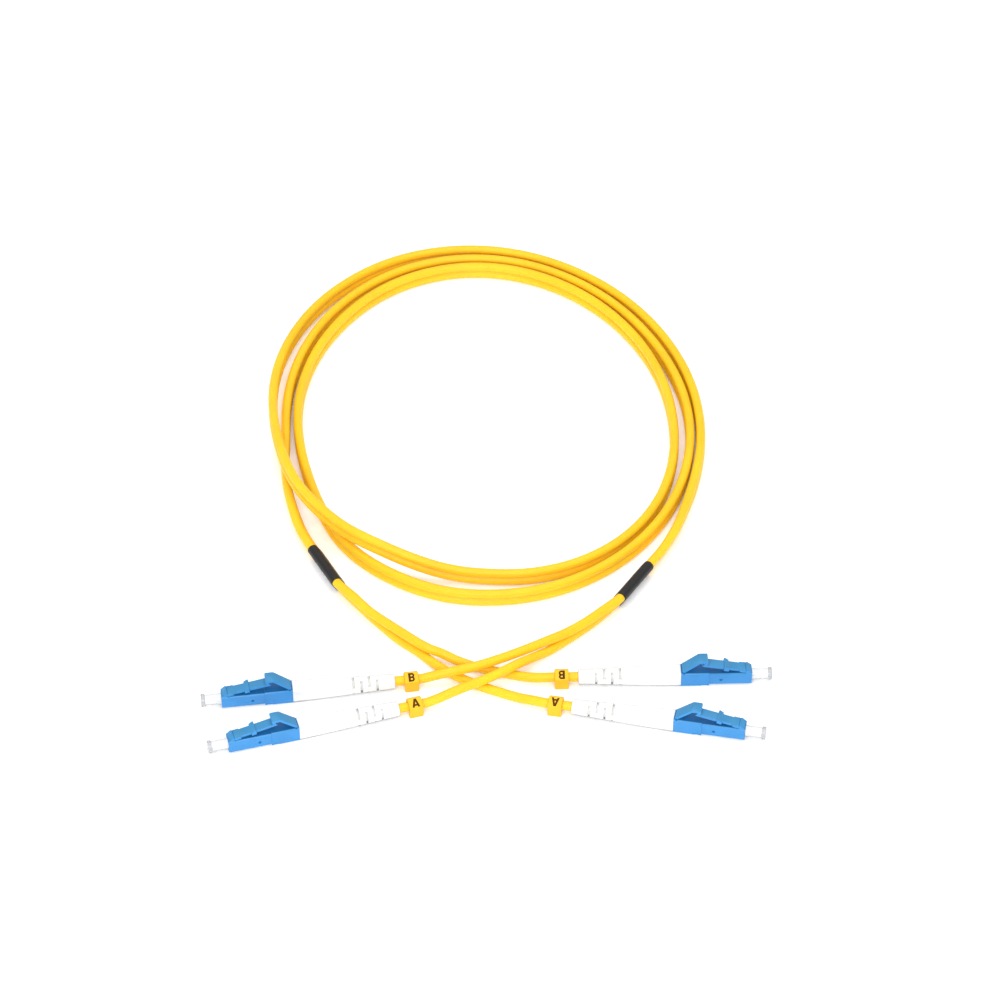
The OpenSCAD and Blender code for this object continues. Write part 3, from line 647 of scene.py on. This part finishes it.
def make_split_sleeve(side):
    """Heat-shrink sleeve: a tube that follows the two jackets, rolled in at its ends."""
    half = SLEEVE_L / 2
    inner = CORD_R + SLEEVE_GAP
    outer = inner + SLEEVE_WALL
    ends = [(half - 0.9, 0), (half - 0.35, 0.02), (half - 0.12, 0.07), (half, 0.16)]
    middle = [-half + 0.9 + (SLEEVE_L - 1.8) * k / 16 for k in range(1, 16)]
    outside = [(-x, -cut) for x, cut in reversed(ends)]
    outside += [(x, 0.02 * math.sin(1.9 * x) * math.sin(0.7 * x + 1)) for x in middle]
    outside += [(x, -cut) for x, cut in ends]
    rings = [(x, outer + grow) for x, grow in outside]
    rings += [(half, inner + 0.02), (half - 0.15, inner), (-half + 0.15, inner), (-half, inner + 0.02)]
    points = []
    for x, r in rings:
        for y, z in pair_section(r, CORD_R, r - 0.0001, 8):
            pinch = SLEEVE_PINCH * max(0.0, 1 - (z / CORD_R) ** 2)
            points.append((x, y - math.copysign(pinch, y), z))
    faces = tube_faces(len(rings), len(points) // len(rings), capped=False)
    turn = Matrix.Rotation(math.radians(SPLIT_HEADING[side]), 4, "Z")
    roll = Matrix.Rotation(math.radians(-SPLIT_LEAN * LEAN_TO[side] / 90), 4, "X")
    place = Matrix.Translation((*SPLIT_AT[side], SPLIT_Z)) @ turn @ roll
    sleeve = new_piece(side + "_sleeve", [place @ Vector(p) for p in points], faces,
                       "sleeve_black", BASE_BODY)
    outward(sleeve.data)
    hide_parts(side + "_split_sleeve")
    return sleeve


# ---------------------------------------------------------------- plugs
def rounded_copy(node, name, slot, body, radius, segments=2):
    """A copy of a CAD node with merged flats and rounded edges, which stands for the node."""
    mesh = frame["nodes"][node].data.copy()
    mesh.name = name
    bm = bmesh.new()
    bm.from_mesh(mesh)
    bmesh.ops.remove_doubles(bm, verts=bm.verts, dist=1e-7)
    bmesh.ops.dissolve_limit(bm, angle_limit=math.radians(0.6), verts=bm.verts, edges=bm.edges)
    bmesh.ops.recalc_face_normals(bm, faces=bm.faces)
    bm.to_mesh(mesh)
    bm.free()
    piece = finish_piece(name, mesh, slot, body, smooth=True)
    bevel = piece.modifiers.new("round", "BEVEL")
    bevel.width = radius * MM
    bevel.segments = segments
    bevel.limit_method = "ANGLE"
    bevel.angle_limit = math.radians(32)
    bevel.harden_normals = True
    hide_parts(node)
    return piece


def lathe(name, profile, slot, body, end, sides=40):
    """Closed body turned round the plug's axis from (x, radius) points."""
    place = plug_matrix(end)
    points = [place @ Vector((x, y, z)) for x, r in profile for y, z in circle_section(r, sides)]
    piece = new_piece(name, points, tube_faces(len(profile), sides), slot, body, scale=1.0)
    outward(piece.data)
    return piece


def boot_radius(x, angle):
    """Radius of the boot: the smaller of a cone and a square, with a soft edge between them."""
    cone = BOOT_R1 + (BOOT_R2 - BOOT_R1) * (x - BODY_L) / (BOOT_END_X - BODY_L)
    square = BOOT_HALF / max(abs(math.cos(angle)), abs(math.sin(angle)))
    return (cone ** -22 + square ** -22) ** (-1 / 22)


def make_boot(end):
    """Strain boot with a bore and four flex slots, which alternate from the sides to top and bottom."""
    sides = 72
    # Place, change of radius, and what is cut: 0 the sides, 1 top and bottom, -1 all round.
    rings = [(BODY_L, -0.22, -1), (BODY_L + 0.07, -0.06, -1), (BODY_L + 0.2, 0, -1)]
    rings += [(x, 0, -1) for x in range(24, 41, 2)]
    for i in reversed(range(SLOT_COUNT)):
        middle = BOOT_END_X - SLOT_START - i * SLOT_PITCH
        for off, depth in ((-0.5, 0), (-0.39, -0.03), (-SLOT_HALF, -0.12), (-SLOT_HALF + 0.03, -9),
                           (SLOT_HALF - 0.03, -9), (SLOT_HALF, -0.12), (0.39, -0.03), (0.5, 0)):
            rings.append((middle + off, depth, i % 2))
    rings += [(x, 0, -1) for x in (51, 53, BOOT_END_X - 0.45)]
    rings += [(BOOT_END_X - 0.2, -0.05, -1), (BOOT_END_X - 0.06, -0.17, -1), (BOOT_END_X, -0.36, -1)]
    place = plug_matrix(end)
    points, deep = [], []
    for x, depth, across in rings:
        for k in range(sides):
            a = math.tau * k / sides
            r = boot_radius(x, a)
            reach = abs(r * (math.sin(a) if across == 1 else math.cos(a)))
            cut = across < 0 or reach > SLOT_RIB_HALF
            if cut:
                r = max(SLOT_FLOOR_R, r + depth)
            points.append(place @ Vector((x, r * math.cos(a), r * math.sin(a))))
            # The slot walls and floors are marked for painted shade.
            deep.append(1.0 if cut and depth < -1 else 0.0)
    bore = [(BOOT_END_X, BOOT_BORE + 0.12), (BOOT_END_X - 0.12, BOOT_BORE), (BOOT_WIDE_END, BOOT_BORE),
            (BOOT_WIDE_END, BOOT_WIDE_BORE), (BODY_L, BOOT_WIDE_BORE)]
    points += [place @ Vector((x, y, z)) for x, r in bore for y, z in circle_section(r, sides)]
    faces = tube_faces(len(points) // sides, sides, capped=False)
    boot = new_piece(end + "_boot", points, faces, "boot_white", BASE_BODY, scale=1.0)
    outward(boot.data)
    float_attribute(boot.data, "deep", deep + [0.0] * (len(points) - len(deep)))
    shade_by_angle(boot, 40)
    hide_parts(end + "_strain_boot")


CAP_PROFILE = [
    (-2.2, 0.05), (-2.1, 0.6745), (3.0, 0.6745), (3.2, 0.75), (3.2, 1.38), (3.08, 1.5),
    (0.0, 1.5), (0.0, 1.72), (-0.06, 1.78), (-0.8, 1.8), (-0.88, 1.7), (-5.1, 1.66),
    (-5.16, 1.72), (-5.2, 1.9), (-5.27, 1.98), (-6.2, 2.0), (-6.33, 1.94), (-6.4, 1.8),
    (-6.4, 1.28), (-6.33, 1.2), (-5.9, 1.16), (-5.86, 0.05)]


def make_cap(end):
    cap = lathe(end + "_cap_shell", CAP_PROFILE, "cap_clear", end + "_cap", end)
    # The cap's rim is marked for painted shade.
    rim = [1.0 if x < -5.1 and r > 1.8 else 0.0 for x, r in CAP_PROFILE]
    float_attribute(cap.data, "deep", [v for v in rim for _ in range(len(cap.data.vertices) // len(rim))])
    shade_by_angle(cap, 35)
    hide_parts(end + "_dust_cap")


def shade_by_angle(piece, degrees):
    """Sharp edges where faces meet at more than the angle, smooth ones elsewhere."""
    bm = bmesh.new()
    bm.from_mesh(piece.data)
    for edge in bm.edges:
        if len(edge.link_faces) == 2:
            edge.smooth = edge.calc_face_angle(0) < math.radians(degrees)
    bm.to_mesh(piece.data)
    bm.free()


def bowl(low, high, stroke):
    """Quads of the right half of a ring between two heights, for the letter B."""
    outer = (high - low) / 2
    ring = [(math.sin(a), math.cos(a)) for a in (math.pi * k / 10 for k in range(11))]
    return [[(0.4 + r * x, low + outer + r * y) for r, (x, y) in
             ((outer, p), (outer, q), (outer - stroke, q), (outer - stroke, p))]
            for p, q in zip(ring, ring[1:])]


def bar(left, low, right, high):
    return [(left, low), (right, low), (right, high), (left, high)]


# Flat strokes of the generic polarity letters, one unit high.
LETTERS = {
    "A": [[(0, 0), (0.25, 0), (0.45, 0.68), (0.45, 1), (0.31, 1)],
          [(0.9, 0), (0.59, 1), (0.45, 1), (0.45, 0.68), (0.65, 0)],
          [(0.29, 0.16), (0.61, 0.16), (0.56, 0.36), (0.34, 0.36)]],
    "B": [bar(0, 0, 0.25, 1), bar(0.25, 0.79, 0.4, 1), bar(0.25, 0.41, 0.4, 0.61), bar(0.25, 0, 0.4, 0.21),
          *bowl(0.42, 1, 0.2), *bowl(0, 0.6, 0.2)],
}


def make_letter(end):
    """Printed polarity letter, A or B, on the marker's pad."""
    strokes = LETTERS[end[-1].upper()]
    width = max(x for stroke in strokes for x, _ in stroke)
    near = -1 if end.startswith("left") else 1
    tilt = math.radians(PAD_TILT)
    out = Vector((0, near * math.sin(tilt), math.cos(tilt)))
    up = Vector((0, math.cos(tilt), -near * math.sin(tilt)))
    across = up.cross(out)
    middle = Vector((BOOT_END_X + MARKER_OFF + MARKER_L / 2, 0, 0))
    place = plug_matrix(end)
    points, faces = [], []
    for stroke in strokes:
        count, first = len(stroke), len(points)
        for rise in (-0.02, 0.03):
            points += [place @ (middle + out * (PAD_OUT + rise) + up * (LETTER_H * (y - 0.5))
                                + across * (LETTER_H * (x - width / 2))) for x, y in stroke]
        faces += [tuple(first + k for k in range(count)), tuple(first + count + k for k in range(count))]
        faces += [(first + k, first + (k + 1) % count, first + count + (k + 1) % count, first + count + k)
                  for k in range(count)]
    piece = new_piece(end + "_letter", points, faces, "marker_amber", BASE_BODY, smooth=False, scale=1.0)
    outward(piece.data)
    piece.data.materials[0] = INK
    return piece


def make_spring(end):
    """Ferrule spring, a coil of wire round the plug's axis."""
    sides, steps = 10, 24 * SPRING_TURNS
    start, stop = SPRING_X
    lead = (stop - start) / SPRING_TURNS / math.tau
    place = plug_matrix(end)
    points = []
    for i in range(steps + 1):
        a = math.tau * i * SPRING_TURNS / steps
        radial = Vector((0, math.cos(a), math.sin(a)))
        ahead = Vector((lead, -SPRING_R * math.sin(a), SPRING_R * math.cos(a))).normalized()
        across = ahead.cross(radial)
        middle = radial * SPRING_R + Vector((start + (stop - start) * i / steps, 0, 0))
        points += [place @ (middle + radial * y + across * z) for y, z in circle_section(WIRE_R, sides)]
    spring = new_piece(end + "_spring", points, tube_faces(steps + 1, sides), "spring_steel",
                       BASE_BODY, scale=1.0)
    outward(spring.data)
    shade_by_angle(spring, 50)
    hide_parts(end + "_ferrule_spring")
    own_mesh(spring)


def make_plug(end):
    rounded_copy(end + "_plug_housing", end + "_housing", "housing_blue", BASE_BODY, radius=0.1)
    rounded_copy(end + "_latch_arm", end + "_latch", "housing_blue", end + "_latch", radius=0.08)
    rounded_copy(end + "_trigger_arm", end + "_trigger", "housing_blue", end + "_trigger", radius=0.1)
    make_boot(end)
    marker = rounded_copy(end + "_cable_marker", end + "_marker", "marker_amber", BASE_BODY,
                          radius=0.35, segments=3)
    make_cap(end)
    make_spring(end)
    return [marker, make_letter(end)]


def dress_inner_nodes():
    """Better materials for the CAD nodes that are kept."""
    for part in frame["record"]["subparts"]:
        node = frame["nodes"][part["node"]]
        for slot in node.material_slots:
            slot.material = MATERIALS[part["material_slot"]]


# ---------------------------------------------------------------- the scene
make_camera()
make_studio()
make_floor()
dress_inner_nodes()

zip_cord, zip_line = make_zip_cord()
legs = {end: make_leg(end) for end in ENDS}
sleeves = [make_split_sleeve(side) for side in ("left", "right")]
tags = {end: make_plug(end) for end in ENDS}
